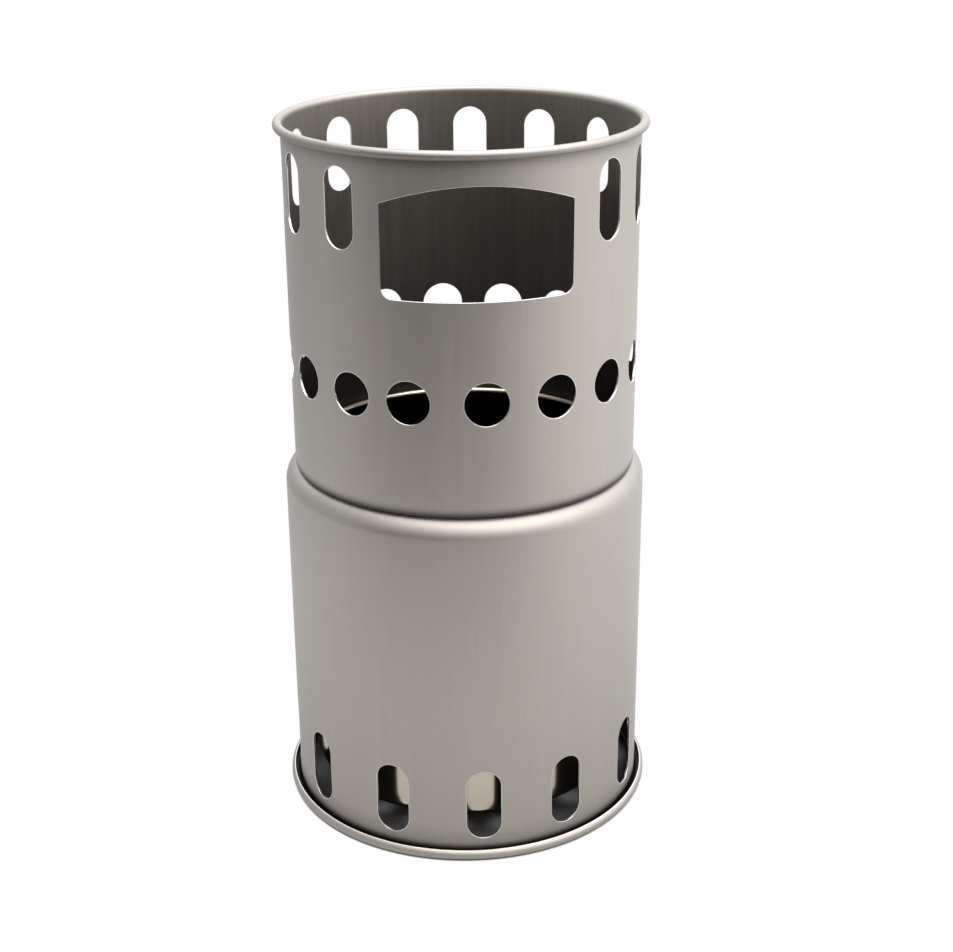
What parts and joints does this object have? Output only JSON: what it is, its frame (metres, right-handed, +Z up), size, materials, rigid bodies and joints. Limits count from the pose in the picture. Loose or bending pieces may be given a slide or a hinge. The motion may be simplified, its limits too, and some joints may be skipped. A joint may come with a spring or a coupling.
{
  "type": "titanium wood stove",
  "caption": "Small cylindrical wood stove in titanium sheet: slotted base shell, hanging firebox with a grate, and a lift-off pot stand with an arched fuel window.",
  "frame": {"origin": "on the table, under the middle of the base shell", "axes": "+Z up along the stove's axis, -Y towards the fuel window"},
  "size_m": [0.095, 0.095, 0.175],
  "materials": {
    "titanium_base": "satin",
    "titanium_firebox": "satin",
    "titanium_stand": "satin"
  },
  "bodies": {
    "base_shell": {"base_shell": "titanium_base"},
    "firebox": {"firebox": "titanium_firebox"},
    "pot_stand": {"pot_stand": "titanium_stand"}
  },
  "joints": [
    {"name": "pot_stand_lift", "type": "slide", "parent": "base_shell", "child": "pot_stand", "axis": [0, 0, 1], "range_m": [0, 0.1]},
    {"name": "firebox_lift", "type": "slide", "parent": "base_shell", "child": "firebox", "axis": [0, 0, 1], "range_m": [0, 0.095]}
  ]
}
